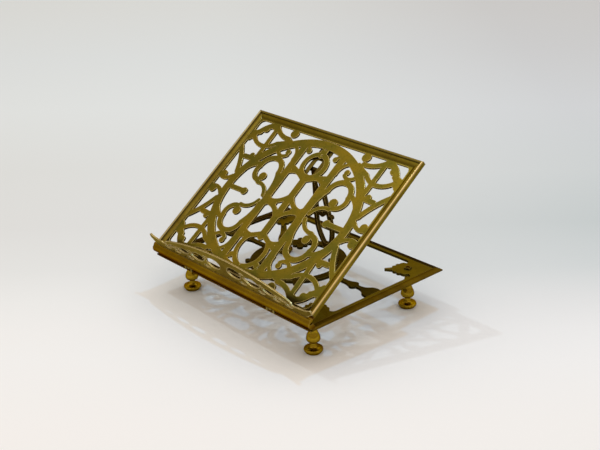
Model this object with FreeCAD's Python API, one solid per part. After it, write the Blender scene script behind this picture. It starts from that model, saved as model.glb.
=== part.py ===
import FreeCAD, Part
import os
from math import atan2, cos, degrees, hypot, radians, sin, sqrt
from FreeCAD import Vector

# A cast and turned brass book stand: a pierced desk hinged along the front of an
# open base on four turned feet, held up behind by one pivoted strut.
# Lengths are millimetres. X runs along the front, Y to the rear, Z up.
# While it is built, Y = 0 is the front edge of the base and Z = 0 the table.

# Overall sizes
base_width = 330.0
base_depth = 252.0
foot_height = 55.0
base_thickness = 4.0
side_rail_width = 15.0
front_rail_width = 21.0
rear_rail_width = 15.0
tilt_deg = 36.6

# Base mouldings
moulding_width = 10.0
moulding_edge = 2.0
moulding_rise = 0.8
front_moulding_rise = -0.1
front_moulding_edge = 3.0

# Corner leaves of the base
leaf_start = 40.0
leaf_reach = 37.0

# Cross piece of the base: two arms and a ring that the strut stands on
ring_radius = 64.0
ring_width = 12.0
ring_centre_y = 129.5
arm_width = 7.0
arm_leaf = 15.6
arm_flare = 25.0
arm_end_gap = 0.1
cusp_reach = 15.0

# Turned feet
foot_inset_x = 34.0
foot_inset_y = 35.0
foot_disc_radius = 13.1
foot_disc_height = 7.2
foot_waist_radius = 3.9
foot_waist_height = 15.3
foot_bulb_radius = 9.6
foot_bulb_height = 20.2
foot_neck_radius = 4.6
foot_collar_radius = 7.2
stud_radius = 3.0
stud_stand = 0.6
nut_across_flats = 8.5
nut_height = 2.0

# Hinges along the front
hinge_y = 4.0
hinge_rise = 5.5
hinge_x = 88.0
hinge_length = 18.0
knuckle_radius = 3.5
knuckle_middle = 8.0
knuckle_gap = 0.3
knuckle_front = 5.6
knuckle_notch = 0.8
knuckle_lap = 2.2
lap_clearance = 0.3
pin_radius = 1.5
running_clearance = 0.05
leaf_thickness = 1.5
base_leaf_length = 15.0
desk_leaf_length = 12.6
leaf_screw_spread = 5.2
leaf_screw_inset = 4.2

# Desk panel
panel_width = 326.0
panel_length = 263.0
panel_thickness = 3.0
panel_rise = 7.8
panel_front = -3.0
border_side = 13.0
border_end = 12.0
border_front = 16.0
corner_radius = 8.0
oval_side_gap = 22.0
oval_end_gap = 0.5
oval_width = 13.0
strap_width = 7.6
ball_radius = 6.8
small_ball_radius = 4.6
mullion_width = 12.0
top_ring_radius = 24.0
ring_place = 0.63

# Raised moulding round the desk
trim_width = 11.5
trim_edge = 1.4
trim_height = 4.2
bead_radius = 1.9

# Ledge and gallery that hold the book
ledge_length = 334.0
ledge_width = 8.0
ledge_rise = 1.6
ledge_notch = 23.0
gallery_lean_deg = 22.0
gallery_foot_up = 2.5
gallery_foot_out = 3.9
gallery_thickness = 2.0
gallery_tip = 172.0
gallery_tip_height = 13.5
gallery_notch_height = 10.0
gallery_shoulder = 128.0
gallery_shoulder_height = 16.0
gallery_middle_height = 32.5
gallery_rail = 8.8
gallery_rim = 8.2

# Strut and its clevis
strut_pivot_inset = 57.0
strut_drop = 5.6
strut_width = 16.0
strut_belly = 17.0
strut_strap = 5.0
strut_thickness = 6.0
strut_eye_radius = 3.4
strut_pin_radius = 2.0
clevis_ear = 3.0
clevis_gap = 0.3
clevis_plate_thickness = 1.6
clevis_plate_width = 25.0
clevis_plate_length = 56.0
clevis_plate_front = 20.5
clevis_slot = 11.0
strut_foot_clearance = 0.3

# Small screws
screw_radius = 1.4
screw_head_radius = 2.7
screw_head_height = 1.3

half_width = base_width / 2
base_top = foot_height + base_thickness
hinge_z = base_top + hinge_rise
panel_top = panel_rise
panel_under = panel_rise - panel_thickness
panel_rear = panel_front + panel_length
window_front = panel_front + border_front
window_rear = panel_rear - border_end
window_half = panel_width / 2 - border_side
window_mid = (window_front + window_rear) / 2
oval_half_width = window_half - oval_side_gap
oval_half_length = (window_rear - window_front) / 2 - oval_end_gap
strut_pivot = panel_rear - strut_pivot_inset
tilt = radians(tilt_deg)

AXIS_X = Vector(1, 0, 0)
AXIS_Y = Vector(0, 1, 0)
AXIS_Z = Vector(0, 0, 1)


def point(xy, z=0.0):
    return Vector(xy[0], xy[1], z)


def outline(start, *steps):
    """A closed flat wire. A step is a point, or a pair of points for an arc."""
    edges = []
    here = start
    for step in steps:
        if isinstance(step[0], tuple):
            edges.append(Part.Arc(point(here), point(step[0]), point(step[1])).toShape())
            here = step[1]
        else:
            edges.append(Part.LineSegment(point(here), point(step)).toShape())
            here = step
    if hypot(here[0] - start[0], here[1] - start[1]) > 1e-6:
        edges.append(Part.LineSegment(point(here), point(start)).toShape())
    return Part.Wire(edges)


def disc(centre, radius):
    circle = Part.Circle(point(centre), AXIS_Z, radius)
    return Part.Face(Part.Wire(circle.toShape()))


def oval(centre, half_x, half_y):
    """A flat ellipse whose longer axis may run either way."""
    if half_x >= half_y:
        curve = Part.Ellipse(point(centre), half_x, half_y)
        return Part.Face(Part.Wire(curve.toShape()))
    curve = Part.Ellipse(point(centre), half_y, half_x)
    face = Part.Face(Part.Wire(curve.toShape()))
    face.rotate(point(centre), AXIS_Z, 90)
    return face


def rectangle(x0, y0, x1, y1, radius=0.0):
    """A flat rectangle, with rounded corners if a radius is given."""
    if radius <= 0:
        return Part.Face(outline((x0, y0), (x1, y0), (x1, y1), (x0, y1)))
    r = radius
    k = r * (1 - sqrt(0.5))
    return Part.Face(outline(
        (x0 + r, y0), (x1 - r, y0), ((x1 - k, y0 + k), (x1, y0 + r)),
        (x1, y1 - r), ((x1 - k, y1 - k), (x1 - r, y1)),
        (x0 + r, y1), ((x0 + k, y1 - k), (x0, y1 - r)),
        (x0, y0 + r), ((x0 + k, y0 + k), (x0 + r, y0))))


def circle_through(a, b, c):
    """Centre and radius of the circle through three points."""
    d = 2 * (a[0] * (b[1] - c[1]) + b[0] * (c[1] - a[1]) + c[0] * (a[1] - b[1]))
    sa, sb, sc = [p[0] ** 2 + p[1] ** 2 for p in (a, b, c)]
    x = (sa * (b[1] - c[1]) + sb * (c[1] - a[1]) + sc * (a[1] - b[1])) / d
    y = (sa * (c[0] - b[0]) + sb * (a[0] - c[0]) + sc * (b[0] - a[0])) / d
    return (x, y), hypot(a[0] - x, a[1] - y)


def strap(start, middle, end, width):
    """A flat band of even width along the arc through three points, with round ends."""
    centre, radius = circle_through(start, middle, end)
    half = width / 2

    def shifted(p, by):
        k = (radius + by) / radius
        return (centre[0] + (p[0] - centre[0]) * k, centre[1] + (p[1] - centre[1]) * k)

    def cap(p, away):
        dx, dy = p[0] - centre[0], p[1] - centre[1]
        side = (-dy / radius * half, dx / radius * half)
        if side[0] * (p[0] - away[0]) + side[1] * (p[1] - away[1]) < 0:
            side = (-side[0], -side[1])
        return (p[0] + side[0], p[1] + side[1])

    return Part.Face(outline(
        shifted(start, half), (shifted(middle, half), shifted(end, half)),
        (cap(end, middle), shifted(end, -half)),
        (shifted(middle, -half), shifted(start, -half)),
        (cap(start, middle), shifted(start, half))))


def bar(start, end, width):
    """A flat straight band with round ends."""
    dx, dy = end[0] - start[0], end[1] - start[1]
    length = hypot(dx, dy)
    ux, uy = dx / length * width / 2, dy / length * width / 2
    return Part.Face(outline(
        (start[0] + uy, start[1] - ux), (end[0] + uy, end[1] - ux),
        ((end[0] + ux, end[1] + uy), (end[0] - uy, end[1] + ux)),
        (start[0] - uy, start[1] + ux),
        ((start[0] - ux, start[1] - uy), (start[0] + uy, start[1] - ux))))


def joined(shapes):
    """Overlapping flat faces, all turned upward, made into one face."""
    faces = []
    for shape in shapes:
        for face in shape.Faces:
            up = face.copy()
            if up.normalAt(0, 0).z < 0:
                up.reverse()
            faces.append(up)
    pieces = faces[0].multiFuse(faces[1:]).Faces
    return Part.Shell(pieces).removeSplitter().Faces[0]


def raised(face, z, height):
    """A plate of the given height on a flat face."""
    plate = face.copy()
    plate.translate(Vector(0, 0, z))
    return one_solid(plate.extrude(Vector(0, 0, height)))


def one_solid(shape):
    """The shape's solid, with its faces turned outward."""
    solids = shape.Solids
    if len(solids) != 1:
        return shape
    solid = solids[0].copy()
    if solid.Volume < 0:
        solid.reverse()
    return solid


def box(x0, y0, z0, x1, y1, z1):
    return Part.makeBox(x1 - x0, y1 - y0, z1 - z0, Vector(x0, y0, z0))


def rod(start, end, radius):
    direction = Vector(*end) - Vector(*start)
    return Part.makeCylinder(radius, direction.Length, Vector(*start), direction)


def turned(profile):
    """A solid of revolution about Z from an outline of radius and height."""
    wire = profile.copy()
    wire.rotate(Vector(0, 0, 0), AXIS_X, 90)
    return one_solid(Part.Face(wire).revolve(Vector(0, 0, 0), AXIS_Z, 360))


def along_x(profile, x0, x1):
    """A bar along X whose section is an outline in Y and Z."""
    section = Part.Face(profile)
    section.rotate(Vector(0, 0, 0), AXIS_X, 90)
    section.rotate(Vector(0, 0, 0), AXIS_Z, 90)
    section.translate(Vector(x0, 0, 0))
    return one_solid(section.extrude(Vector(x1 - x0, 0, 0)))


def mitred(profile, length, start_mitre, end_mitre):
    """A moulding along X, its outer edge on Y = 0 and its inside towards +Y."""
    strip = along_x(profile, 0, length)
    reach = 3 * moulding_width + trim_width
    tall = 4 * reach
    for mitre, corner, side in ((start_mitre, 0, -1), (end_mitre, length, 1)):
        if mitre:
            waste = Part.Face(outline(
                (corner, 0), (corner - side * reach, reach), (corner + side * reach, reach),
                (corner + side * reach, -reach), (corner, -reach)))
            waste.translate(Vector(0, 0, -tall / 2))
            strip = strip.cut(waste.extrude(Vector(0, 0, tall)))
    return one_solid(strip)


def turned_to(shape, degrees_z, x, y):
    copy = shape.copy()
    copy.rotate(Vector(0, 0, 0), AXIS_Z, degrees_z)
    copy.translate(Vector(x, y, 0))
    return copy


def leaned(shape):
    """Desk pieces are drawn flat about the hinge line, then leaned back onto the stand."""
    copy = shape.copy()
    copy.rotate(Vector(0, 0, 0), AXIS_X, tilt_deg)
    copy.translate(Vector(0, hinge_y, hinge_z))
    return copy


def desk_point(up, out):
    """Y and Z of a point given by its distance up the desk and out from the hinge line."""
    return (hinge_y + up * cos(tilt) - out * sin(tilt),
            hinge_z + up * sin(tilt) + out * cos(tilt))


def screw(x, y, seat_z, depth):
    """A round headed screw standing on a surface, its shank going down."""
    head = Part.makeSphere(screw_head_radius, Vector(0, 0, 0))
    head = head.common(box(-9, -9, 0, 9, 9, 9))
    squash = FreeCAD.Matrix()
    squash.scale(1, 1, screw_head_height / screw_head_radius)
    head = head.transformGeometry(squash)
    head = head.cut(box(-screw_head_radius, -0.35, screw_head_height * 0.55,
                        screw_head_radius, 0.35, screw_head_height * 2))
    shank = rod((0, 0, -depth), (0, 0, 0.2), screw_radius)
    whole = one_solid(head.fuse(shank).removeSplitter())
    whole.translate(Vector(x, y, seat_z))
    return whole


# Base

def leaf_points(sx, sy):
    """Outline of one corner leaf, from the inner corner of the rails."""
    s, r = leaf_start, leaf_reach
    side = [
        ((s * 0.84, s * 0.06), (s * 0.80, s * 0.20)),
        ((r * 0.99, s * 0.27), (r * 1.01, s * 0.43)),
        ((r * 1.08, r * 0.55), (r * 1.02, r * 0.66)),
        ((r * 1.08, r * 0.76), (r * 1.01, r * 0.87)),
    ]
    ends = [(s, 0.0)] + [end for middle, end in side]
    point_end = (r * 1.14, r * 1.08)
    tip = [point_end, ((r * 1.15, r * 1.15), point_end[::-1]), ends[-1][::-1]]
    back = [(side[i][0][::-1], ends[i][::-1]) for i in reversed(range(len(side)))]
    steps = [(s, 0.0)] + side + tip + back + [(-2.0, s), (-2.0, -2.0)]

    rail = rear_rail_width if sy > 0 else front_rail_width

    def place(p):
        inner_x = half_width - side_rail_width
        inner_y = base_depth / 2 - rail
        return (sx * (inner_x - p[0]), base_depth / 2 + sy * (inner_y - p[1]))

    placed = []
    for step in steps:
        if isinstance(step[0], tuple):
            placed.append((place(step[0]), place(step[1])))
        else:
            placed.append(place(step))
    return outline(place((s, -2.0)), *placed)


def foot_places():
    x = half_width - foot_inset_x
    return [(sx * x, y) for sx in (-1, 1) for y in (foot_inset_y, base_depth - foot_inset_y)]


def base_frame():
    """Flat open frame with a leaf in each corner, drilled for the feet and the hinges."""
    edge = moulding_width
    outer = rectangle(-half_width + edge, edge, half_width - edge, base_depth - edge)
    inner = rectangle(-half_width + side_rail_width, front_rail_width,
                      half_width - side_rail_width, base_depth - rear_rail_width)
    faces = [outer.cut(inner)]
    faces += [Part.Face(leaf_points(sx, sy)) for sx in (-1, 1) for sy in (-1, 1)]
    face = joined(faces)
    frame = raised(face, foot_height, base_thickness)
    for x, y in foot_places():
        hole = rod((x, y, foot_height - 1), (x, y, base_top + 1), stud_radius + running_clearance)
        frame = frame.cut(hole)
    for x, y in base_hinge_screw_places():
        frame = frame.cut(rod((x, y, foot_height - 1), (x, y, base_top + 1),
                              screw_radius + running_clearance))
    return one_solid(frame)


def base_moulding_profile(top, e):
    """Half round edge moulding: thin outer lip, swelling to a flat beside the frame."""
    w = moulding_width
    bottom = foot_height
    return outline(
        (w, bottom), (0.6, bottom), (0.0, bottom + 0.6), (0.0, bottom + e),
        ((w * 0.28, bottom + e + (top - bottom - e) * 0.62), (w * 0.72, top)),
        (w - 1.4, top), (w - 1.0, top - 0.9), (w, top - 0.9))


def base_moulding(side):
    rise, edge = moulding_rise, moulding_edge
    if side == "front":
        rise, edge = front_moulding_rise, front_moulding_edge
    across = side in ("front", "rear")
    length = base_width if across else base_depth
    strip = mitred(base_moulding_profile(base_top + rise, edge), length, True, True)
    turn, x, y = {
        "front": (0, -half_width, 0),
        "right": (90, half_width, 0),
        "rear": (180, half_width, base_depth),
        "left": (270, -half_width, base_depth)}[side]
    return turned_to(strip, turn, x, y)


def arm(sx):
    """One arm: a narrow bar, a leaf collar, a neck and a flare that meets the side rail."""
    rail = half_width - side_rail_width - arm_end_gap
    bar_half, leaf, flare, neck = arm_width / 2, arm_leaf / 2, arm_flare / 2, arm_width * 0.38
    upper = [
        (rail - 56, bar_half),
        ((rail - 47, bar_half + 1.0), (rail - 41, leaf - 0.7)),
        ((rail - 37, leaf), (rail - 34, leaf - 1.8)),
        (rail - 32, neck), (rail - 27, neck),
        ((rail - 19, flare * 0.42), (rail - 13, flare * 0.88)),
        ((rail - 6.5, flare * 1.04), (rail, flare))]
    start = (ring_radius, bar_half)

    def place(p, side):
        return (sx * p[0], ring_centre_y + side * p[1])

    def end_of(step):
        return step[1] if isinstance(step[0], tuple) else step

    steps = []
    for step in upper:
        if isinstance(step[0], tuple):
            steps.append((place(step[0], 1), place(step[1], 1)))
        else:
            steps.append(place(step, 1))
    ends = [start] + [end_of(step) for step in upper]
    steps.append(place(ends[-1], -1))
    for i in reversed(range(len(upper))):
        if isinstance(upper[i][0], tuple):
            steps.append((place(upper[i][0], -1), place(ends[i], -1)))
        else:
            steps.append(place(ends[i], -1))
    return Part.Face(outline(place(start, 1), *steps))


def cross_piece():
    """Ring with four inward leaf cusps, carried by two arms that reach the side rails."""
    centre = (0.0, ring_centre_y)
    outer = disc(centre, ring_radius + ring_width / 2)
    inner = disc(centre, ring_radius - ring_width / 2)
    faces = [outer.cut(inner), arm(-1), arm(1)]
    inside = ring_radius - ring_width / 2
    d = sqrt(0.5)
    for sx in (-1, 1):
        for sy in (-1, 1):
            def at(along, across):
                return (sx * (along - across) * d, ring_centre_y + sy * (along + across) * d)
            tip = inside - cusp_reach
            for side in (-1, 1):
                faces.append(strap(at(inside + 2, side * 11.0), at(inside - 5.5, side * 4.2),
                                   at(tip + 4.5, 0), 4.6))
                faces.append(disc(at(inside - 5.0, side * 7.4), small_ball_radius * 0.8))
            faces.append(disc(at(tip + 4.0, 0), small_ball_radius))
            faces.append(bar(at(inside + 3, 0), at(tip + 4, 0), 5.0))
            faces.append(disc(at(ring_radius + ring_width / 2 + 2.0, 0), small_ball_radius))
    return raised(joined(faces), foot_height, base_thickness)


def foot_profile():
    """Disc, waist, pear shaped bulb, neck and collar, then the threaded stud."""
    d, dh = foot_disc_radius, foot_disc_height
    w, wh = foot_waist_radius, foot_waist_height
    b, bh = foot_bulb_radius, foot_bulb_height
    n, c = foot_neck_radius, foot_collar_radius
    top = foot_height
    stud_top = base_top + nut_height + stud_stand
    return outline(
        (0, 0), (d - 3.2, 0), ((d - 2.5, 0.3), (d - 2.2, 1.0)), (d - 2.2, 1.8),
        (d - 1.5, 2.1), ((d - 0.1, 4.2), (d - 0.9, dh - 0.5)),
        (d - 1.8, dh), ((w + 2.6, dh + 1.3), (w + 0.1, wh - 2.6)), (w, wh - 0.9),
        ((w + 0.9, wh - 0.4), (w, wh + 0.2)),
        ((b - 1.7, (wh + bh) / 2 - 1.0), (b, bh)),
        ((b - 0.7, bh + 4.6), (b - 2.7, bh + 9.0)),
        ((n + 0.7, bh + 15.4), (n, bh + 22.0)), (n, top - 7.2),
        (c - 0.9, top - 6.2), ((c, top - 4.4), (c - 1.2, top - 2.6)),
        (c + 0.2, top - 1.6), (c + 0.2, top), (stud_radius, top),
        (stud_radius, stud_top - 0.5), (stud_radius - 0.5, stud_top), (0, stud_top))


def foot(x, y):
    whole = turned(foot_profile())
    whole.translate(Vector(x, y, 0))
    return whole


def foot_nut(x, y):
    """Square nut with chamfered corners on the stud above the base."""
    half = nut_across_flats / 2
    nut = box(-half, -half, 0, half, half, nut_height)
    nut = nut.common(Part.makeCone(half * 1.55, half * 1.15, nut_height))
    nut.rotate(Vector(0, 0, 0), AXIS_Z, 20)
    nut = nut.cut(rod((0, 0, -1), (0, 0, nut_height + 1), stud_radius + running_clearance))
    nut.translate(Vector(x, y, base_top))
    return one_solid(nut)


# Hinges

def hinge_side_lengths():
    """Start and end along the pin of the three knuckles, counted from the hinge's middle."""
    half, mid = hinge_length / 2, knuckle_middle / 2
    return [(-half, -mid - knuckle_gap), (-mid, mid), (mid + knuckle_gap, half)]


def knuckle(x0, x1, foot_box):
    """A bored barrel on the X axis with the web that joins it to its leaf."""
    web = box(x0, foot_box[0], foot_box[1], x1, foot_box[2], foot_box[3])
    barrel = rod((x0, 0, 0), (x1, 0, 0), knuckle_radius)
    return barrel.fuse(web)


def knuckle_nose(x0, x1, bottom):
    """Rounded front of a knuckle, which shows from the front in the notch of the ledge."""
    left, right, front, r = x0 + knuckle_notch, x1 - knuckle_notch, -knuckle_front, 1.2
    face = Part.Face(outline(
        (left, 0), (left, front + r), ((left + r * 0.3, front + r * 0.3), (left + r, front)),
        (right - r, front), ((right - r * 0.3, front + r * 0.3), (right, front + r)), (right, 0)))
    return raised(face, bottom, -pin_radius - 0.6 - bottom)


def base_hinge(x):
    """Leaf screwed on the front rail, with the two outer knuckles."""
    lengths = hinge_side_lengths()
    leaf = box(lengths[0][0], knuckle_radius * 0.4, -hinge_rise,
               lengths[2][1], base_leaf_length, -hinge_rise + leaf_thickness)
    slot = box(lengths[1][0] - knuckle_gap, -knuckle_radius * 2, -hinge_rise - 1,
               lengths[1][1] + knuckle_gap, knuckle_radius + 0.8, 1)
    parts = [leaf.cut(slot)]
    for x0, x1 in (lengths[0], lengths[2]):
        parts.append(knuckle(x0, x1, (-1.5, -hinge_rise, knuckle_radius - 0.2, 0.0)))
        over = box(x0, -hinge_y - lap_clearance, -hinge_rise - knuckle_lap - 1.0, x1, 9.0, -hinge_rise)
        parts.append(knuckle_nose(x0, x1, -hinge_rise - knuckle_lap).cut(over))
    whole = parts[0].multiFuse(parts[1:])
    whole = whole.cut(rod((-hinge_length, 0, 0), (hinge_length, 0, 0), pin_radius))
    y = base_leaf_length - leaf_screw_inset
    for sx in (-leaf_screw_spread, leaf_screw_spread):
        whole = whole.cut(rod((sx, y, -9), (sx, y, 9), screw_radius + running_clearance))
    whole = one_solid(whole.removeSplitter())
    whole.translate(Vector(x, hinge_y, hinge_z))
    return whole


def desk_hinge(x):
    """Leaf screwed under the desk, with the middle knuckle that turns on the pin."""
    lengths = hinge_side_lengths()
    leaf = box(lengths[0][0], knuckle_radius + 0.9, panel_under - leaf_thickness,
               lengths[2][1], desk_leaf_length, panel_under)
    neck = box(lengths[1][0], -0.5, panel_under - leaf_thickness,
               lengths[1][1], desk_leaf_length - 1.0, panel_under)
    parts = [leaf, neck, knuckle(lengths[1][0], lengths[1][1], (-2.4, 0.0, 2.4, panel_under))]
    nose = knuckle_nose(lengths[1][0], lengths[1][1], -hinge_rise + 3 * knuckle_gap)
    nose.rotate(Vector(0, 0, 0), AXIS_X, -tilt_deg)
    parts.append(nose)
    whole = parts[0].multiFuse(parts[1:])
    whole = whole.cut(rod((-hinge_length, 0, 0), (hinge_length, 0, 0),
                          pin_radius + running_clearance))
    y = desk_leaf_length - leaf_screw_inset
    for sx in (-leaf_screw_spread, leaf_screw_spread):
        whole = whole.cut(rod((sx, y, -9), (sx, y, 9), screw_radius + running_clearance))
    whole = leaned(one_solid(whole.removeSplitter()))
    whole.translate(Vector(x, 0, 0))
    return whole


def base_hinge_screw_places():
    y = hinge_y + base_leaf_length - leaf_screw_inset
    return [(hx + sx, y) for hx in (-hinge_x, hinge_x)
            for sx in (-leaf_screw_spread, leaf_screw_spread)]


def desk_hinge_screw_places():
    y = desk_leaf_length - leaf_screw_inset
    return [(hx + sx, y) for hx in (-hinge_x, hinge_x)
            for sx in (-leaf_screw_spread, leaf_screw_spread)]


def round_pin(half, radius):
    """Plain pin along X with slightly domed ends."""
    dome = radius * 0.35
    pin = turned(outline(
        (0, -half - dome), (radius * 0.3, -half - dome),
        ((radius * 0.75, -half - dome * 0.6), (radius, -half)), (radius, half),
        ((radius * 0.75, half + dome * 0.6), (radius * 0.3, half + dome)), (0, half + dome)))
    pin.rotate(Vector(0, 0, 0), AXIS_Y, 90)
    return pin


def hinge_pin(x):
    """Pin held tight in the outer knuckles."""
    pin = round_pin(hinge_length / 2 + 0.6, pin_radius)
    pin.translate(Vector(x, hinge_y, hinge_z))
    return pin


def base_hinge_screws():
    return [screw(x, y, base_top + leaf_thickness, leaf_thickness + base_thickness - 1.0)
            for x, y in base_hinge_screw_places()]


def screw_from_below(x, y, plate):
    """Screw through a plate under the desk into the panel."""
    one = screw(0, 0, 0, plate + panel_thickness - 0.6)
    one.rotate(Vector(0, 0, 0), AXIS_X, 180)
    one.translate(Vector(x, y, panel_under - plate))
    return leaned(one)


def desk_hinge_screws():
    return [screw_from_below(x, y, leaf_thickness) for x, y in desk_hinge_screw_places()]


# Desk

def corner_at(sx, sy, place):
    """A point in a corner of the window, given by its direction from the middle in degrees
    and its share of the way from the oval to the border along that direction."""
    turn, share = radians(place[0]), place[1]
    from_oval = 1 / hypot(cos(turn) / oval_half_width, sin(turn) / oval_half_length)
    to_border = min(window_half / cos(turn), (window_rear - window_mid) / sin(turn))
    r = from_oval + share * (to_border - from_oval)
    return (sx * r * cos(turn), window_mid + sy * r * sin(turn))


def corner_scrolls():
    """Scrolls, tie bars and balls between the oval and the border, in all four corners."""
    w = strap_width
    straps = [
        ((33.0, 0.93), (32.0, 0.43), (43.5, 0.09), w - 0.6),
        ((43.5, 0.09), (48.0, 0.03), (54.5, -0.02), w),
        ((46.0, 1.02), (47.0, 0.55), (53.0, 0.22), w),
        ((23.5, 1.06), (20.0, 0.64), (11.5, 0.01), w + 0.6),
        ((4.0, 1.0), (3.5, 0.51), (7.0, -0.03), w - 1.2),
        ((46.0, 0.95), (41.0, 0.80), (35.5, 0.75), w + 2.5),
        ((35.5, 0.75), (32.5, 0.87), (29.0, 1.0), w + 2.5),
    ]
    bars = [((45.5, 0.82), (28.0, -0.04), w + 0.4), ((26.0, -0.11), (21.5, 0.45), w + 0.6)]
    balls = [
        ((57.0, 0.68), ball_radius + 0.6), ((39.0, 0.67), small_ball_radius + 0.8),
        ((35.5, 0.73), small_ball_radius), ((25.5, 0.16), small_ball_radius),
        ((5.5, 0.76), ball_radius - 0.6), ((44.5, 0.89), ball_radius),
        ((31.0, 0.93), ball_radius),
    ]
    faces = []
    for sx in (-1, 1):
        for sy in (-1, 1):
            for start, middle, end, width in straps:
                faces.append(strap(corner_at(sx, sy, start), corner_at(sx, sy, middle),
                                   corner_at(sx, sy, end), width))
            for start, end, width in bars:
                faces.append(bar(corner_at(sx, sy, start), corner_at(sx, sy, end), width))
            for centre, radius in balls:
                faces.append(disc(corner_at(sx, sy, centre), radius))
    return faces


def centre_tracery():
    """Three mullions joined by cusped bands, ball ended scrolls beside them, a ring above
    and a pointed loop below.

    Points are in hundredths of the oval's half width and half length, from its middle.
    """
    w, mullion = strap_width, mullion_width
    faces = []
    for sx in (-1, 1):
        for sy in (-1, 1):
            def at(px, py):
                return (sx * px * oval_half_width / 100, window_mid + sy * py * oval_half_length / 100)
            side = [
                (at(30.5, 2), at(15, 3.5), at(2, 15), w),
                (at(30.5, 9), at(26, 2), at(15, 0), w + 1.5),
                (at(30.5, 54), at(16, 49), at(1, 41), w),
                (at(29.5, 43), at(23, 47), at(15, 48), w - 1.5),
                (at(33, 9), at(34.5, 26), at(39.5, 39), w + 1.6),
                (at(39.5, 39), at(55, 56), at(71, 38.5), w + 1.2),
                (at(71, 38.5), at(70, 26), at(60, 20.5), w + 0.6),
                (at(70, 43), at(78, 40), at(87, 31), w),
                (at(62, 76), at(57, 62), at(46, 65), w - 1.6),
                (at(34, 62), at(35.5, 72), at(43, 80), w - 2.0),
                (at(58, 17.5), at(46, 15), at(38, 4), w - 1.4),
            ]
            for start, middle, end, width in side:
                faces.append(strap(start, middle, end, width))
            faces.append(bar(at(30.5, -4), at(30.5, 84), mullion))
            faces.append(bar(at(91, 0), at(70, 0), w))
            for centre, radius in ((at(57, 27), ball_radius), (at(67, 0), ball_radius - 0.8),
                                   (at(47, 69), small_ball_radius), (at(21, 80), small_ball_radius),
                                   (at(19, 42), small_ball_radius * 0.8)):
                faces.append(disc(centre, radius))
            faces.append(strap(at(28, 88), at(24, 85), at(21, 80), w - 2.4))

        def upper(px, py):
            return (sx * px * oval_half_width / 100, window_mid + py * oval_half_length / 100)
        faces.append(strap(upper(15.5, -50), upper(20, -66), upper(3, -88), w))
    faces.append(bar((0, window_mid - 0.45 * oval_half_length),
                     (0, window_mid + 0.45 * oval_half_length), mullion))
    faces.append(bar((0, window_mid + 0.80 * oval_half_length),
                     (0, window_mid + 0.93 * oval_half_length), mullion))
    ring_middle = (0.0, window_mid + ring_place * oval_half_length)
    ring = disc(ring_middle, top_ring_radius)
    faces.append(ring.cut(disc(ring_middle, top_ring_radius - w - 0.6)))
    return faces


def desk_panel():
    """One pierced casting: border, oval, corner scrolls and the tracery in the oval."""
    half = panel_width / 2
    border = rectangle(-half, panel_front, half, panel_rear).cut(
        rectangle(-window_half, window_front, window_half, window_rear, corner_radius))
    centre = (0.0, window_mid)
    ring = oval(centre, oval_half_width, oval_half_length).cut(
        oval(centre, oval_half_width - oval_width, oval_half_length - oval_width))
    face = joined([border, ring] + corner_scrolls() + centre_tracery())
    for place in desk_hinge_screw_places() + clevis_screw_places():
        face = face.cut(disc(place, screw_radius + running_clearance))
    return leaned(raised(face, panel_under, panel_thickness))


def trim_profile():
    """Section of the raised moulding: a bead along the outer edge, a groove, a low swell."""
    r = bead_radius
    top, crown = panel_top, panel_top + trim_height
    groove = crown - r - 0.4
    return outline(
        (trim_edge, panel_under), (0, panel_under), (0, crown - r),
        ((r * 0.29, crown - r * 0.29), (r, crown)),
        ((r * 1.71, crown - r * 0.29), (2 * r, crown - r)),
        ((2 * r + 0.3, groove - 0.2), (2 * r + 0.9, groove)),
        ((2 * r + 3.2, groove - 0.1), (trim_width - 1.6, top + 1.0)),
        ((trim_width - 0.8, top + 0.5), (trim_width, top + 0.3)), (trim_width, top),
        (trim_edge, top))


def desk_trim(side):
    half = panel_width / 2 + trim_edge
    rear = panel_rear + trim_edge
    side_length = rear - ledge_width
    if side == "top":
        strip = mitred(trim_profile(), 2 * half, True, True)
        return leaned(turned_to(strip, 180, half, rear))
    if side == "right":
        strip = mitred(trim_profile(), side_length, False, True)
        return leaned(turned_to(strip, 90, half, ledge_width))
    strip = mitred(trim_profile(), side_length, True, False)
    return leaned(turned_to(strip, 270, -half, rear))


def gallery_place(up, out):
    """Distance up and out, in the desk, of a point in the gallery's own leaned frame."""
    a = radians(gallery_lean_deg)
    return (gallery_foot_up + up * cos(a) + out * sin(a),
            panel_top + gallery_foot_out - up * sin(a) + out * cos(a))


def ledge():
    """Front moulding: a rounded nose, and a cove rising to the foot of the gallery."""
    top = panel_top + ledge_rise
    half_foot = gallery_thickness / 2 + 0.6
    section = outline(
        (ledge_width, panel_top), (ledge_width, top - 0.5),
        ((ledge_width - 0.2, top - 0.1), (ledge_width - 0.7, top)),
        (gallery_foot_up + 2.2, top), ((gallery_foot_up + 1.2, top + 0.4), gallery_place(half_foot, 0)),
        gallery_place(-half_foot, 0), ((-1.2, top + 1.3), (-4.4, top + 0.2)),
        (-4.9, top - 0.5), ((-7.2, 3.0), (-3.4, -2.6)),
        ((-2.0, -3.8), (0.3, -4.1)), (0.9, -3.6), (0.9, panel_under),
        (panel_front, panel_under), (panel_front, panel_top))
    half = ledge_length / 2
    bar_shape = along_x(section, -half, half)
    for x in (-hinge_x, hinge_x):
        notch = box(x - ledge_notch / 2, -8, -6, x + ledge_notch / 2, 2, panel_under)
        bar_shape = bar_shape.cut(notch)
    return leaned(one_solid(bar_shape))


def gallery_arch():
    """Centre height and radius of the arc that the gallery's rim follows."""
    middle, radius = circle_through(
        (-gallery_shoulder, gallery_shoulder_height), (0.0, gallery_middle_height),
        (gallery_shoulder, gallery_shoulder_height))
    return middle[1], radius


def gallery_top(x):
    centre, radius = gallery_arch()
    return centre + sqrt(radius ** 2 - x ** 2)


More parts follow.
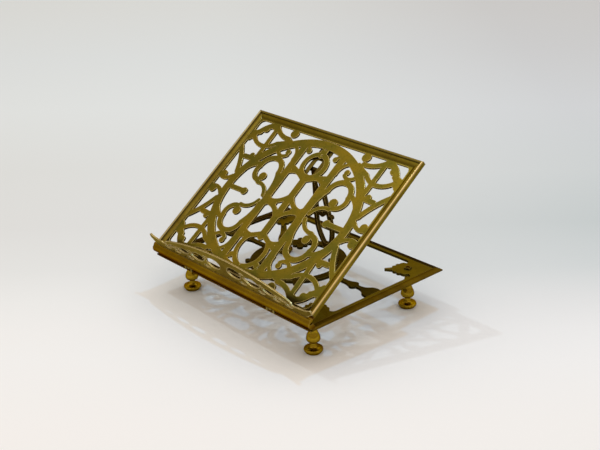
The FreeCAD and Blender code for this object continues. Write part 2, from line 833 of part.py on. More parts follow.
def gallery_outline():
    """Low arch over a straight foot, with a leaf that turns up at each end."""
    tip, high, notch = gallery_tip, gallery_tip_height, gallery_notch_height
    shoulder, top = gallery_shoulder, gallery_shoulder_height
    left = [
        ((tip - 9.0, high * 0.2), (tip - 4.8, high * 0.48)),
        ((tip - 0.6, high * 0.72), (tip, high * 0.96)),
        ((tip - 2.4, high * 1.09), (tip - 6.0, high * 0.97)),
        ((tip - 15.0, notch + 0.9), (tip - 23.5, notch)),
        ((tip - 33.0, (notch + top) / 2 - 1.6), (shoulder, top)),
    ]
    ends = [(tip - 14.0, 0.0)] + [end for middle, end in left]
    steps = [((-m[0], m[1]), (-e[0], e[1])) for m, e in left]
    steps.append(((0.0, gallery_middle_height), (shoulder, top)))
    for i in reversed(range(len(left))):
        steps.append((left[i][0], ends[i]))
    return outline((-ends[0][0], 0.0), *steps)


def gallery_openings():
    """Start and end along the gallery of its openings on one side of the middle."""
    starts = (7.0, 40.0, 77.5, 107.0, 131.0)
    ends = (36.5, 74.5, 104.0, 128.0, 145.0)
    return [(a / 145.0 * (gallery_tip - 27.0), b / 145.0 * (gallery_tip - 27.0))
            for a, b in zip(starts, ends)]


def gallery():
    """Pierced rail standing on the ledge, leaning a little outward when the desk is open."""
    face = Part.Face(gallery_outline())
    openings = gallery_openings()
    for i, (start, end) in enumerate(openings):
        middle = (start + end) / 2
        floor = gallery_rail
        roof = max(gallery_top(middle) - gallery_rim, floor + 4.0)
        if end > gallery_shoulder:
            roof = floor + 4.0
        waist = (floor + roof) / 2
        for sx in (-1, 1):
            if i == 0:
                hole = oval((sx * middle, waist), (end - start) / 2, (roof - floor) / 2)
            else:
                lift = (roof - floor) * 0.12
                hole = Part.Face(outline(
                    (sx * start, waist + lift), ((sx * middle, floor), (sx * end, waist - lift)),
                    ((sx * middle, roof), (sx * start, waist + lift))))
            face = face.cut(hole)
            if i > 0:
                before = (openings[i - 1][1] + start) / 2
                face = face.cut(lens(sx * before, gallery_rail * 0.72, 15.0, gallery_rail * 0.46))
                above = gallery_top(min(before, gallery_shoulder)) - gallery_rim
                if before < gallery_shoulder - 12.0:
                    face = face.cut(lens(sx * before, above - 1.6, 11.0, 2.8))
    plate = raised(face, -gallery_thickness / 2, gallery_thickness)
    plate.rotate(Vector(0, 0, 0), AXIS_X, 90 - gallery_lean_deg)
    plate.translate(Vector(0, gallery_foot_up, panel_top + gallery_foot_out))
    return leaned(plate)


def lens(x, y, length, height):
    """Pointed oval opening between two arcs."""
    half = length / 2
    return Part.Face(outline((x - half, y), ((x, y - height / 2), (x + half, y)),
                             ((x, y + height / 2), (x - half, y))))


def gallery_rivets():
    """Small domed rivet heads on the gallery's foot, below its larger openings."""
    made = []
    for start, end in gallery_openings()[:4]:
        for sx in (-1, 1):
            dome = turned(outline((0, 0), (1.2, 0), ((0.95, 0.55), (0.35, 0.85)), (0, 0.85)))
            dome.rotate(Vector(0, 0, 0), AXIS_X, 90 - gallery_lean_deg)
            place = gallery_place(-gallery_thickness / 2, 2.6)
            dome.translate(Vector(sx * (start + end) / 2, *place))
            made.append(leaned(dome))
    return made


# Strut

def ring_rear_edge():
    """Y of the ring's rear inner edge where the sides of the strut's foot meet it."""
    inner = ring_radius - ring_width / 2
    return ring_centre_y + sqrt(inner ** 2 - (strut_width / 2) ** 2)


def strut_geometry():
    """Pivot, length and lean of the strut, standing on the ring's rear inner edge."""
    pivot = desk_point(strut_pivot, panel_under - strut_drop)
    foot_y = ring_rear_edge() + 1.0
    foot_z = base_top + 1.0
    dy, dz = foot_y - pivot[0], foot_z - pivot[1]
    length = hypot(dy, dz)
    lean = degrees(atan2(dy, -dz))
    return pivot, length, lean


def fold_ratio():
    """Strut turn per desk turn, so that the strut lies along the desk when it is flat."""
    lean = strut_geometry()[2]
    return (90.0 + lean - tilt_deg) / tilt_deg


def foot_slope():
    """Slope of the path that the strut's foot leaves the ring on, as the desk goes down."""
    pivot, length, lean = strut_geometry()
    tip = (pivot[0] + length * sin(radians(lean)), pivot[1] - length * cos(radians(lean)))
    k = fold_ratio()
    vy = -(tip[1] - hinge_z) - k * (tip[1] - pivot[1])
    vz = (tip[0] - hinge_y) + k * (tip[0] - pivot[0])
    return atan2(vz, vy)


def ring_room():
    """The space behind and below the foot's sloping face, which the ring's edge fills."""
    slope = foot_slope()
    edge = ring_rear_edge() - strut_foot_clearance / sin(slope)
    reach = 30.0
    return along_x(outline(
        (edge - reach * cos(slope), base_top - reach * sin(slope)),
        (edge + 2 * reach, base_top - reach * sin(slope)),
        (edge + 2 * reach, base_top + reach * sin(slope)),
        (edge + reach * cos(slope), base_top + reach * sin(slope))),
        -3 * strut_width, 3 * strut_width)


def strut():
    """Openwork bar: an eye at the top, two bowed straps with balls, and a sloping foot."""
    pivot, length, lean = strut_geometry()
    half, thick = strut_width / 2, strut_thickness / 2
    w, belly = strut_strap, strut_belly
    faces = [rectangle(-half, -strut_eye_radius - 9.0, half, 0),
             rectangle(-half, -length - 2.6, half, -length + 7.5)]
    for sx in (-1, 1):
        faces.append(strap((sx * 5.2, -8), (sx * 10.0, -length * 0.36),
                           (sx * (belly - w / 2), -length * 0.64), w))
        faces.append(strap((sx * (belly - w / 2), -length * 0.64), (sx * 12.2, -length * 0.84),
                           (sx * 4.4, -length + 3), w))
        faces.append(disc((sx * belly, -length * 0.57), 3.7))
        faces.append(strap((0, -length * 0.575), (sx * 7.5, -length * 0.535),
                           (sx * 12.5, -length * 0.44), w - 1.2))
        faces.append(strap((0, -length * 0.30), (sx * 3.6, -length * 0.26),
                           (sx * 6.8, -length * 0.18), w - 1.6))
    faces.append(disc((0, -length * 0.545), 4.2))
    plate = raised(joined(faces), -thick, strut_thickness)
    plate.rotate(Vector(0, 0, 0), AXIS_X, 90)
    body = plate.fuse(rod((-half, 0, 0), (half, 0, 0), strut_eye_radius))
    body = body.cut(rod((-half - 1, 0, 0), (half + 1, 0, 0), strut_pin_radius + running_clearance))
    body.rotate(Vector(0, 0, 0), AXIS_X, lean)
    body.translate(Vector(0, pivot[0], pivot[1]))
    return one_solid(body.cut(ring_room()).removeSplitter())


def clevis():
    """Plate under the desk with two ears that hold the strut's pin."""
    inside = strut_width / 2 + clevis_gap
    up, out = strut_pivot, panel_under - strut_drop
    ear_r = strut_eye_radius
    half = clevis_plate_width / 2
    front = up - clevis_plate_front
    slot = clevis_slot / 2
    plate_face = rectangle(-half, front, half, front + clevis_plate_length, 6.0)
    plate_face = plate_face.cut(rectangle(-slot, up - 14.0, slot, up + 13.5, 3.0))
    plate = raised(plate_face, panel_under - clevis_plate_thickness, clevis_plate_thickness)
    whole = [plate]
    for x0 in (-inside - clevis_ear, inside):
        ear = rod((x0, up, out), (x0 + clevis_ear, up, out), ear_r)
        ear = ear.fuse(box(x0, up - ear_r, out, x0 + clevis_ear, up + ear_r,
                           panel_under - clevis_plate_thickness / 2))
        whole.append(ear)
    bracket = whole[0].multiFuse(whole[1:])
    bracket = bracket.cut(rod((-half, up, out), (half, up, out), strut_pin_radius))
    for x, y in clevis_screw_places():
        bracket = bracket.cut(rod((x, y, 0), (x, y, panel_under + 1),
                                  screw_radius + running_clearance))
    return leaned(one_solid(bracket.removeSplitter()))


def clevis_screw_places():
    return [(0.0, strut_pivot + 20.5), (0.0, strut_pivot + 30.5)]


def clevis_screws():
    return [screw_from_below(x, y, clevis_plate_thickness) for x, y in clevis_screw_places()]


def strut_pin():
    """Pin through the ears and the eye, with a small head at each end."""
    pivot = strut_geometry()[0]
    half = strut_width / 2 + clevis_gap + clevis_ear
    r, head = strut_pin_radius, strut_pin_radius + 0.9
    pin = turned(outline(
        (0, -half - 1.4), (head - 0.4, -half - 1.4), (head, -half - 1.0), (head, -half),
        (r, -half), (r, half), (head, half), (head, half + 1.0),
        (head - 0.4, half + 1.4), (0, half + 1.4)))
    pin.rotate(Vector(0, 0, 0), AXIS_Y, 90)
    pin.translate(Vector(0, pivot[0], pivot[1]))
    return pin


def build():
    parts = {"base_frame": base_frame(), "cross_piece": cross_piece()}
    for side in ("front", "right", "rear", "left"):
        parts["base_moulding_" + side] = base_moulding(side)
    names = ["foot_left_front", "foot_left_rear", "foot_right_front", "foot_right_rear"]
    for name, (x, y) in zip(names, foot_places()):
        parts[name] = foot(x, y)
    parts["foot_nuts"] = Part.Compound([foot_nut(x, y) for x, y in foot_places()])
    for name, x in (("left", -hinge_x), ("right", hinge_x)):
        parts["base_hinge_" + name] = base_hinge(x)
        parts["desk_hinge_" + name] = desk_hinge(x)
        parts["hinge_pin_" + name] = hinge_pin(x)
    parts["base_hinge_screws"] = Part.Compound(base_hinge_screws())
    parts["desk_hinge_screws"] = Part.Compound(desk_hinge_screws())
    parts["desk_panel"] = desk_panel()
    for side in ("left", "top", "right"):
        parts["desk_moulding_" + side] = desk_trim(side)
    parts["ledge"] = ledge()
    parts["gallery"] = gallery()
    parts["gallery_rivets"] = Part.Compound(gallery_rivets())
    parts["strut"] = strut()
    parts["strut_clevis"] = clevis()
    parts["strut_clevis_screws"] = Part.Compound(clevis_screws())
    parts["strut_pin"] = strut_pin()
    return parts


def main():
    parts = build()
    whole = Part.Compound(list(parts.values())).BoundBox
    middle_y = (whole.YMin + whole.YMax) / 2
    os.makedirs("parts", exist_ok=True)
    for name, shape in parts.items():
        placed = shape.copy()
        placed.translate(Vector(0, -middle_y, 0))
        placed.exportStep("parts/" + name + ".step")
        if not placed.isValid() or any(s.Volume <= 0 for s in placed.Solids):
            print("check", name, placed.isValid(), len(placed.Solids))
    pivot, length, lean = strut_geometry()
    print("nodes", len(parts))
    print("box", round(whole.XLength, 2), round(whole.YLength, 2), round(whole.ZMax, 2),
          "lowest", round(whole.ZMin, 3))
    print("hinge", round(hinge_y - middle_y, 4), round(hinge_z, 4))
    print("strut pivot", round(pivot[0] - middle_y, 4), round(pivot[1], 4), "length", round(length, 2),
          "lean", round(lean, 3), "ratio", round(fold_ratio(), 5))
    print("shift", round(middle_y, 4), "foot slope", round(degrees(foot_slope()), 2))


main()
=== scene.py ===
from math import cos, radians, sin

import bmesh
import bpy
import numpy as np
from mathutils import Matrix, Vector


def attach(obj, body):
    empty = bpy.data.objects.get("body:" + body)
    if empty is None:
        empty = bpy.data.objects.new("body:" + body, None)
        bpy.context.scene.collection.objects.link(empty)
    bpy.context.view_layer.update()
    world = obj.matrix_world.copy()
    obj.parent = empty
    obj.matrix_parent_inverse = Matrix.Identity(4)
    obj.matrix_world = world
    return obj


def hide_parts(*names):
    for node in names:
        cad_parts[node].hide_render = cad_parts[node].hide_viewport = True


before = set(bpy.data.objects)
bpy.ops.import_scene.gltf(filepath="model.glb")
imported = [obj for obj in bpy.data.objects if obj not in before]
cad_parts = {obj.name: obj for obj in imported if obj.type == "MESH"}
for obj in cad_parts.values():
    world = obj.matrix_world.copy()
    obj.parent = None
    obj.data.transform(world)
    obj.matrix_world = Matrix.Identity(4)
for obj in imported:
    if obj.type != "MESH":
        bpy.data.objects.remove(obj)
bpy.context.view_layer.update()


# Base frame: one open plate of cast brass with a leaf in each corner.
# It is filed flat, with sawn walls in painted shade and arrises that are rubbed round and
# painted bright, partly as a highlight. The left rail is painted darker, as shade under the
# desk. The other pieces are finished by the same functions.

class Level:
    """One shader socket that takes part in sums. Each sign adds a Math node."""

    def __init__(self, finish, socket):
        self.finish = finish
        self.socket = socket

    def sum_of(self, operation, first, second):
        return self.finish.add("ShaderNodeMath", {"operation": operation}, {0: first, 1: second})

    def __add__(self, other):
        return self.sum_of("ADD", self, other)

    def __radd__(self, other):
        return self.sum_of("ADD", other, self)

    def __sub__(self, other):
        return self.sum_of("SUBTRACT", self, other)

    def __rsub__(self, other):
        return self.sum_of("SUBTRACT", other, self)

    def __mul__(self, other):
        return self.sum_of("MULTIPLY", self, other)

    def __rmul__(self, other):
        return self.sum_of("MULTIPLY", other, self)

    def __pow__(self, other):
        return self.sum_of("POWER", self, other)


class Finish:
    """A material in the making. add() puts in one node: its type, settings and sockets."""

    def __init__(self, name):
        self.material = bpy.data.materials.new(name)
        self.material.use_nodes = True
        self.tree = self.material.node_tree
        self.surface = self.tree.nodes["Principled BSDF"]

    def feed(self, socket, value):
        if isinstance(value, Level):
            self.tree.links.new(value.socket, socket)
        elif isinstance(value, tuple) and len(value) == 3 and socket.type == "RGBA":
            socket.default_value = value + (1.0,)
        else:
            socket.default_value = value

    def add(self, kind, settings=None, sockets=None, out=0):
        node = self.tree.nodes.new(kind)
        for name, value in (settings or {}).items():
            if name == "stops":
                ramp = node.color_ramp.elements
                while len(ramp) < len(value):
                    ramp.new(1.0)
                for stop, (place, shade) in zip(ramp, value):
                    stop.position = place
                    if isinstance(shade, float):
                        shade = (shade,) * 3
                    stop.color = shade + (1.0,)
            else:
                setattr(node, name, value)
        for key, value in (sockets or {}).items():
            self.feed(node.inputs[key], value)
        return Level(self, node.outputs[out])

    def set(self, **sockets):
        for key, value in sockets.items():
            self.feed(self.surface.inputs[key.replace("_", " ")], value)

    def place(self):
        return self.add("ShaderNodeTexCoord", out="Object")

    def noise(self, where, scale, detail, rough, stretch=(1.0, 1.0, 1.0)):
        spot = self.add("ShaderNodeMapping", {}, {"Vector": where, "Scale": stretch})
        return self.add("ShaderNodeTexNoise", {}, {
            "Vector": spot, "Scale": scale, "Detail": detail, "Roughness": rough})

    def ramp(self, level, *stops):
        return self.add("ShaderNodeValToRGB", {"stops": stops}, {"Fac": level})

    def mix(self, share, first, second):
        return self.add("ShaderNodeMix", {"data_type": "RGBA"}, {0: share, 6: first, 7: second}, 2)

    def edges(self, radius):
        """How far a spot lies on a rounded edge: its normal against the normals near it."""
        round_off = self.add("ShaderNodeBevel", {"samples": 6}, {"Radius": radius})
        straight = self.add("ShaderNodeNewGeometry", out="Normal")
        along = self.add("ShaderNodeVectorMath", {"operation": "DOT_PRODUCT"},
                         {0: round_off, 1: straight}, "Value")
        return 1.0 - along

    def hollows(self, reach):
        """How much of the space over a spot is taken by metal near it."""
        return 1.0 - self.add("ShaderNodeAmbientOcclusion", {"samples": 6},
                              {"Distance": reach}, "AO")

    def band(self, where, direction, start, end):
        """0 at the first distance along a direction, 1 from the second one on."""
        along = self.add("ShaderNodeVectorMath", {"operation": "DOT_PRODUCT"},
                         {0: where, 1: direction}, "Value")
        return self.ramp((along - start) * (1.0 / (end - start)), (0.0, 0.0), (1.0, 1.0))

    def facing(self, direction):
        """How squarely a spot faces a direction of the piece itself, from -1 to 1."""
        own = self.add("ShaderNodeTexCoord", out="Normal")
        return self.add("ShaderNodeVectorMath", {"operation": "DOT_PRODUCT"},
                        {0: own, 1: direction}, "Value")


def old_brass(name, face, shade, grime_and_shade, worn_and_highlight, gloss=0.34, cast=0.5, rub_and_highlight=1.0, dirt_and_shade=1.0,
              flat=None, arris_width=0.0009, rim=(0.95, 0.82, 0.50), highlight_bands=(), dark_bands=(), dark_band_metal_loss=0.0):
    """Brass that has darkened in patches, with dirty hollows that also take painted shade, and is
    rubbed bright on its arrises, partly as a painted highlight. A plate names the direction it
    is flat to, and its walls take painted shade. A highlight band (a direction and the two
    distances it comes in between) is a painted highlight; a dark band is darker, in most places
    as painted shade. The last argument says how far a dark band also makes the surface a non-metal."""
    brass = Finish(name)
    where = brass.place()
    patches = brass.ramp(brass.noise(where, 26.0, 4.0, 0.6), (0.36, 0.0), (0.68, 1.0))
    clouds = brass.ramp(brass.noise(where, 9.0, 2.0, 0.5), (0.42, 0.0), (0.62, 1.0))
    specks = brass.ramp(brass.noise(where, 420.0, 2.0, 0.6), (0.54, 0.0), (0.74, 1.0))
    streaks = brass.noise(where, 60.0, 3.0, 0.6, (0.25, 1.0, 1.0))
    low = brass.ramp(brass.hollows(0.012), (0.20, 0.0), (0.80, 1.0))
    arris_wear_and_highlight = brass.ramp(brass.edges(arris_width) * (0.6 + streaks), (0.05, 0.0), (0.30, 1.0))

    colour = brass.mix(patches * 0.75 + clouds * 0.25, face, shade)
    colour = brass.mix(specks * 0.40, colour, grime_and_shade)
    # A plate's walls, turned away from its flat direction, are darkened as painted shade.
    if flat is not None:
        wall_shade = brass.ramp(brass.facing(flat) ** 2.0, (0.20, 1.0), (0.80, 0.0))
        colour = brass.mix(wall_shade * 0.75, colour, grime_and_shade)
    # Hollows darken: dirt, and painted shade where nearby metal crowds over them.
    colour = brass.mix(low * (0.9 * dirt_and_shade), colour, grime_and_shade)
    metal = 1.0
    # Dark bands darken the colour, mostly as painted shade, and may make the surface a non-metal.
    for dark_band in dark_bands:
        dark = brass.band(where, *dark_band)
        colour = brass.mix(dark * 0.96, colour, grime_and_shade)
        if dark_band_metal_loss > 0.0:
            metal = (1.0 - dark * dark_band_metal_loss) * metal
    # Highlight bands are painted highlights.
    for highlight_band in highlight_bands:
        colour = brass.mix(brass.band(where, *highlight_band) * (0.5 + streaks * 0.5), colour, worn_and_highlight)
    # Arrises are brightened: rubbing, and a painted highlight.
    colour = brass.mix(arris_wear_and_highlight * (0.75 * rub_and_highlight), colour, worn_and_highlight)

    dull = gloss + patches * 0.12 + specks * 0.12 + low * 0.2 - arris_wear_and_highlight * 0.08
    pits = brass.noise(where, 95.0, 3.0, 0.5) * cast + brass.noise(where, 700.0, 2.0, 0.6) * 0.12
    softened = brass.add("ShaderNodeBevel", {"samples": 6}, {"Radius": 0.0005})
    bump = brass.add("ShaderNodeBump", {}, {"Strength": 0.30, "Distance": 0.0005,
                                            "Height": pits, "Normal": softened})
    brass.set(Base_Color=colour, Metallic=metal, Roughness=dull, Normal=bump,
              Specular_Tint=rim)
    return brass.material


def casting(node, body, edge, finish, steps=2, angle=30.0):
    """A CAD node's own shape, with its arrises rounded by the given width."""
    piece = bpy.data.objects.new(node + "_metal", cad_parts[node].data.copy())
    work = bmesh.new()
    work.from_mesh(piece.data)
    bmesh.ops.remove_doubles(work, verts=work.verts, dist=2e-6)
    bmesh.ops.dissolve_limit(work, angle_limit=radians(0.4), verts=work.verts, edges=work.edges)
    work.to_mesh(piece.data)
    work.free()
    for old in ("custom_normal", "sharp_edge", "sharp_face"):
        if old in piece.data.attributes:
            piece.data.attributes.remove(piece.data.attributes[old])
    bpy.context.scene.collection.objects.link(piece)
    piece.data.materials.clear()
    piece.data.materials.append(finish)
    piece.data.shade_smooth()
    rounding = piece.modifiers.new("arrises", "BEVEL")
    rounding.width = edge
    rounding.segments = steps
    rounding.limit_method = "ANGLE"
    rounding.angle_limit = radians(angle)
    rounding.harden_normals = True
    rounding.use_clamp_overlap = True
    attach(piece, body)
    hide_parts(node)


# Painted shade on the left rail, under the desk.
left_rail_shade = ((-1.0, 0.0, 0.0), 0.11, 0.15)
base_finish = old_brass("base plate brass",
                        face=(0.200, 0.150, 0.016), shade=(0.125, 0.090, 0.011),
                        grime_and_shade=(0.020, 0.013, 0.003), worn_and_highlight=(0.42, 0.31, 0.08), gloss=0.34, cast=0.8,
                        flat=(0.0, 0.0, 1.0), rim=(0.52, 0.42, 0.20), dark_bands=(left_rail_shade,))
casting("base_frame", "base", 0.0006, base_finish)


# Cross piece: a brass ring with four cusps and two arms, cast in one. The arms' flared ends
# meet the side rails. It is painted the darkest part of the base, as shade under the desk.

# A darker copy of the brass, as painted shade under the desk.
cross_shade_finish = old_brass("cross piece brass",
                         face=(0.080, 0.062, 0.010), shade=(0.038, 0.028, 0.006),
                         grime_and_shade=(0.010, 0.007, 0.002), worn_and_highlight=(0.34, 0.25, 0.07), gloss=0.38, cast=1.0,
                         flat=(0.0, 0.0, 1.0), rim=(0.50, 0.40, 0.20))
casting("cross_piece", "base", 0.0008, cross_shade_finish)


# Edge mouldings of the base: four lengths of half round brass section, mitred at the corners.
# The front one is rubbed by hands to a redder brown and painted darker as shade under the ledge;
# the rear and left ones take the darkest copy, as painted shade.

moulding_finish = old_brass("base moulding brass",
                            face=(0.125, 0.082, 0.008), shade=(0.062, 0.039, 0.005),
                            grime_and_shade=(0.022, 0.013, 0.003), worn_and_highlight=(0.44, 0.32, 0.09),
                            gloss=0.30, cast=0.3, rim=(0.50, 0.38, 0.13))
casting("base_moulding_right", "base", 0.0003, moulding_finish)

# A darker copy of the moulding brass, as painted shade.
shaded_finish = old_brass("rear and left moulding brass in painted shade", face=(0.070, 0.050, 0.008),
                          shade=(0.036, 0.025, 0.005), grime_and_shade=(0.012, 0.008, 0.003),
                          worn_and_highlight=(0.34, 0.26, 0.09), gloss=0.32, cast=0.3, rim=(0.36, 0.28, 0.12))
casting("base_moulding_rear", "base", 0.0003, shaded_finish)
casting("base_moulding_left", "base", 0.0003, shaded_finish)

# Darker than the right moulding, as painted shade under the ledge.
front_finish = old_brass("front moulding brass",
                         face=(0.105, 0.054, 0.006), shade=(0.055, 0.027, 0.004),
                         grime_and_shade=(0.045, 0.022, 0.004), worn_and_highlight=(0.34, 0.20, 0.05), gloss=0.30, cast=0.3,
                         dirt_and_shade=0.1, rim=(0.40, 0.25, 0.06))
casting("base_moulding_front", "base", 0.0003, front_finish)


# Feet: four solid turned brass feet with a disc, a waist and a pear shaped bulb, each with a
# stud that goes up through the frame and takes a square nut. The studs are dark, and the rear
# left foot is painted darker, as shade under the desk.

stud = ((0.0, 0.0, 1.0), 0.0560, 0.0570)
# The rear left foot is darkened as painted shade under the desk.
rear_left_shade = ((-0.7071, 0.7071, 0.0), 0.10, 0.18)
foot_finish = old_brass("turned foot brass",
                        face=(0.370, 0.245, 0.013), shade=(0.210, 0.125, 0.008),
                        grime_and_shade=(0.050, 0.030, 0.004), worn_and_highlight=(0.85, 0.62, 0.14), gloss=0.14, cast=0.10,
                        dirt_and_shade=0.5, rim=(0.45, 0.32, 0.08), dark_bands=(stud, rear_left_shade))
for name in ("left_front", "left_rear", "right_front", "right_rear"):
    casting("foot_" + name, "base", 0.0002, foot_finish, steps=1, angle=50.0)

small_finish = old_brass("small brass fittings",
                         face=(0.150, 0.110, 0.016), shade=(0.075, 0.052, 0.010),
                         grime_and_shade=(0.014, 0.009, 0.003), worn_and_highlight=(0.40, 0.30, 0.09), gloss=0.36, cast=0.6,
                         rub_and_highlight=0.6)
casting("foot_nuts", "base", 0.0003, small_finish)


# Hinges: two short brass hinges of three knuckles, their leaves screwed to the frame and the desk.
# The pins are held tight in the outer knuckles and turn in the middle one. The knuckles' noses
# are rubbed bright, partly as a painted highlight, and the gap behind them is painted dark as
# shade.

# The gap behind the knuckle noses is painted dark and dull as shade.
shade_behind_noses = ((0.0, 1.0, 0.0), -0.1218, -0.1210)
hinge_finish = old_brass("hinge brass",
                         face=(0.300, 0.240, 0.070), shade=(0.200, 0.150, 0.040),
                         grime_and_shade=(0.004, 0.003, 0.001), worn_and_highlight=(0.80, 0.66, 0.30), gloss=0.34, cast=0.5,
                         dirt_and_shade=0.3, rub_and_highlight=0.8, rim=(0.45, 0.36, 0.14), dark_bands=(shade_behind_noses,), dark_band_metal_loss=0.8)
for side in ("left", "right"):
    casting("base_hinge_" + side, "base", 0.0002, hinge_finish)
    casting("desk_hinge_" + side, "desk", 0.0002, hinge_finish)
    casting("hinge_pin_" + side, "base", 0.0002, small_finish)
casting("base_hinge_screws", "base", 0.00015, small_finish)
casting("desk_hinge_screws", "desk", 0.00015, small_finish)


# Desk panel: one pierced casting, a border and an oval filled with scrolls and tracery.
# Its face is filed flat, its openings are cleaned up with a file and have soft arrises,
# painted bright as rubbing and highlight, with walls in painted shade. It is painted darkest
# along the ledge as shade, and dims towards the upper left.

lean = radians(36.6)
hinge_y, hinge_z = -0.1169356, 0.0645
desk_out, desk_up = (0.0, -sin(lean), cos(lean)), (0.0, cos(lean), sin(lean))
desk_upper_left = (-0.7071, 0.7071 * cos(lean), 0.7071 * sin(lean))


def up_desk(distance):
    """A distance up the desk from the hinge line, counted from the world's origin."""
    return distance + hinge_y * cos(lean) + hinge_z * sin(lean)


def off_desk(distance):
    """A distance out from the desk at the hinge line, counted from the world's origin."""
    return distance - hinge_y * sin(lean) + hinge_z * cos(lean)


# Painted shade along the ledge.
shade_along_ledge = (desk_up, up_desk(0.028), up_desk(0.017))
dim_corner = (desk_upper_left, 0.046, 0.880)
panel_finish = old_brass("desk panel brass",
                         face=(0.205, 0.146, 0.012), shade=(0.088, 0.089, 0.012),
                         grime_and_shade=(0.015, 0.010, 0.003), worn_and_highlight=(0.92, 0.72, 0.28), gloss=0.32, cast=0.8,
                         flat=desk_out, arris_width=0.0016, rub_and_highlight=1.3, dark_bands=(shade_along_ledge, dim_corner))
casting("desk_panel", "desk", 0.0010, panel_finish)


# Desk mouldings: three lengths of stepped and beaded brass section on the panel's edges.
# They are mitred at the top corners, and their bead carries a painted highlight, the brightest line
# of the desk.

# The bead band is a painted highlight; each row's bright colour and share also set how bright the
# arrises are painted.
bead = (desk_out, off_desk(0.0100), off_desk(0.0116))
for side, face, highlight_and_wear, rubbed in (("left", (0.185, 0.140, 0.020), (0.40, 0.34, 0.16), 0.7),
                                 ("top", (0.160, 0.125, 0.013), (0.22, 0.17, 0.04), 0.4),
                                 ("right", (0.200, 0.142, 0.014), (0.66, 0.50, 0.22), 0.9)):
    trim_finish = old_brass("desk moulding brass, " + side, face=face,
                            shade=(0.105, 0.070, 0.008), grime_and_shade=(0.030, 0.018, 0.004), worn_and_highlight=highlight_and_wear,
                            gloss=0.24, cast=0.3, rub_and_highlight=rubbed, rim=(0.60, 0.46, 0.20),
                            highlight_bands=(bead,))
    casting("desk_moulding_" + side, "desk", 0.0003, trim_finish)


# Ledge: the desk's front moulding, a brass bar with a round nose and a cove up to the gallery.
# Hands have rubbed the nose to a warm golden brown. The cove and the underside are painted dark as
# shade.

# Painted shade in the cove and on the underside.
cove = (desk_up, up_desk(0.0035), up_desk(0.0050))
underside = (desk_out, off_desk(0.0085), off_desk(-0.0010))
ledge_finish = old_brass("ledge brass",
                         face=(0.275, 0.170, 0.011), shade=(0.175, 0.100, 0.008),
                         grime_and_shade=(0.080, 0.034, 0.004), worn_and_highlight=(0.62, 0.44, 0.15), gloss=0.26, cast=0.5,
                         dirt_and_shade=0.4, rim=(0.40, 0.25, 0.05), dark_bands=(cove, underside))
casting("ledge", "desk", 0.0003, ledge_finish)


# Gallery: the low pierced rail that stops the book, of thin cast brass with paler edges, rubbed and
# painted bright as a highlight.
# It stands on the ledge, and small domed rivet heads show on its foot.

# Its wide bright edges are rubbing and a painted highlight.
gallery_finish = old_brass("gallery brass",
                           face=(0.215, 0.155, 0.024), shade=(0.105, 0.068, 0.013),
                           grime_and_shade=(0.028, 0.018, 0.005), worn_and_highlight=(0.95, 0.80, 0.42),
                           gloss=0.28, cast=1.2, rub_and_highlight=1.2, arris_width=0.0022)
casting("gallery", "desk", 0.0006, gallery_finish)
casting("gallery_rivets", "desk", 0.0001, small_finish)


# Strut: an openwork cast brass bar that turns on a pin in a clevis screwed under the desk.
# Its foot stands against the rear of the ring.

# Its brass is a darker copy, painted as shade under the desk.
strut_finish = old_brass("strut brass",
                         face=(0.070, 0.046, 0.009), shade=(0.030, 0.020, 0.005),
                         grime_and_shade=(0.010, 0.006, 0.002), worn_and_highlight=(0.55, 0.38, 0.12), gloss=0.34, cast=1.0,
                         rub_and_highlight=1.2, arris_width=0.0014, rim=(0.45, 0.34, 0.15))
casting("strut", "strut_bar", 0.0008, strut_finish)
casting("strut_clevis", "desk", 0.0003, small_finish)
casting("strut_clevis_screws", "desk", 0.00015, small_finish)
casting("strut_pin", "desk", 0.0002, small_finish)


# Table, lamps and camera: a pale floor with painted light and shade, two small lamps above
# that draw the pierced shadows, a soft world, and the camera of the picture.

half = 40.0
floor_mesh = bpy.data.meshes.new("floor")
floor_mesh.from_pydata([(-half, -half, 0.0), (half, -half, 0.0), (half, half, 0.0),
                        (-half, half, 0.0)], [], [(0, 1, 2, 3)])
floor = bpy.data.objects.new("floor", floor_mesh)
bpy.context.scene.collection.objects.link(floor)

# The floor's colour carries painted light and shade: palest near the camera and greyest to the
# right, a little behind the stand.
floor_finish = Finish("pale floor")
spot = floor_finish.place()
away_from_camera, rightward = (-0.7457, 0.6663, 0.0), (0.6663, 0.7457, 0.0)
depth = floor_finish.band(spot, away_from_camera, -0.40, 2.00)
painted_light_left = floor_finish.ramp(
    depth, (0.03, (0.848, 0.870, 0.890)), (0.10, (0.830, 0.864, 0.890)),
    (0.135, (0.815, 0.847, 0.871)), (0.17, (0.780, 0.818, 0.841)), (0.215, (0.718, 0.758, 0.780)),
    (0.285, (0.680, 0.716, 0.736)), (0.40, (0.670, 0.716, 0.736)), (0.56, (0.695, 0.765, 0.808)),
    (0.75, (0.680, 0.763, 0.825)))
painted_light_right = floor_finish.ramp(
    depth, (0.03, (0.835, 0.870, 0.900)), (0.085, (0.820, 0.864, 0.910)),
    (0.12, (0.775, 0.820, 0.868)), (0.16, (0.680, 0.730, 0.775)), (0.20, (0.570, 0.640, 0.682)),
    (0.27, (0.510, 0.585, 0.622)), (0.37, (0.580, 0.645, 0.685)), (0.53, (0.610, 0.672, 0.735)),
    (0.75, (0.590, 0.650, 0.715)))
across = floor_finish.band(spot, rightward, -0.25, 0.60)
floor_finish.set(Base_Color=floor_finish.mix(across ** 1.3, painted_light_left, painted_light_right),
                 Roughness=0.9, Specular_IOR_Level=0.1)
floor_mesh.materials.append(floor_finish.material)


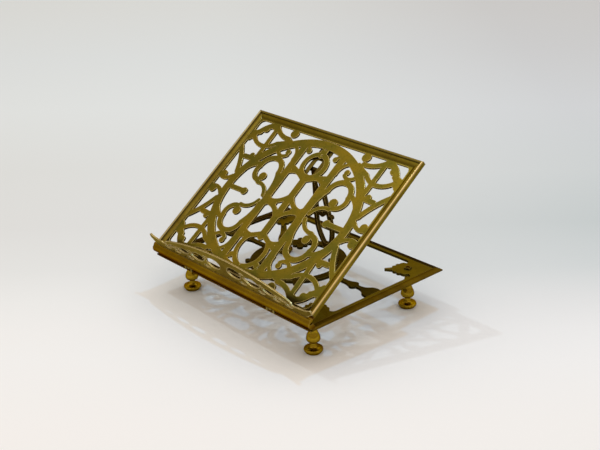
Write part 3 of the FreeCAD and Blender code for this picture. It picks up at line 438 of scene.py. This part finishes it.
class Sky(Finish):
    """The world's nodes, put together the way a finish is."""

    def __init__(self, world):
        world.use_nodes = True
        self.tree = world.node_tree
        self.surface = self.tree.nodes["Background"]


# The world is pale in a thin line at the horizon, and brightens from there to the zenith.
scene = bpy.context.scene
scene.world = bpy.data.worlds.new("studio")
sky = Sky(scene.world)
direction = sky.add("ShaderNodeTexCoord", out="Generated")
height = sky.add("ShaderNodeSeparateXYZ", {}, {0: direction}, "Z")
sky.set(Strength=1.0, Color=sky.ramp(
    height, (0.0, (0.70, 0.71, 0.70)), (0.035, (0.70, 0.71, 0.70)), (0.06, (0.49, 0.43, 0.37)),
    (0.45, (0.59, 0.51, 0.44)), (0.70, (0.98, 0.85, 0.73)), (0.97, (1.46, 1.27, 1.10))))


def lamp(name, place, aim, watts, size, colour):
    light = bpy.data.lights.new(name, "AREA")
    light.shape = "DISK"
    light.size = size
    light.energy = watts
    light.color = colour
    holder = bpy.data.objects.new(name, light)
    holder.location = place
    holder.rotation_euler = (Vector(aim) - Vector(place)).to_track_quat("-Z", "Y").to_euler()
    scene.collection.objects.link(holder)


lamp("lamp behind", (0.01, 0.45, 1.78), (0, 0, 0), 4.8, 0.02, (0.26, 0.62, 1.0))
lamp("lamp left", (-0.80, -0.26, 2.20), (0, 0, 0), 5.0, 0.025, (0.74, 0.90, 1.0))

# The camera's three directions come from its azimuth, its elevation and its roll.
azimuth, elevation, roll = radians(48.225), radians(23.445), radians(-1.5346)
back = np.array([sin(azimuth) * cos(elevation), -cos(azimuth) * cos(elevation), sin(elevation)])
right = np.array([cos(azimuth), sin(azimuth), 0.0])
up = np.cross(back, right)
right, up = cos(roll) * right + sin(roll) * up, cos(roll) * up - sin(roll) * right
turn = Matrix((right, up, back)).transposed().to_4x4()
view = bpy.data.cameras.new("camera")
view.sensor_width = 36.0
view.lens = 65.625
view.clip_start = 0.05
view.clip_end = 50.0
camera = bpy.data.objects.new("camera", view)
camera.matrix_world = Matrix.Translation((1.0584, -0.93224, 0.7267)) @ turn
scene.collection.objects.link(camera)
scene.camera = camera
scene.view_settings.view_transform = "Standard"
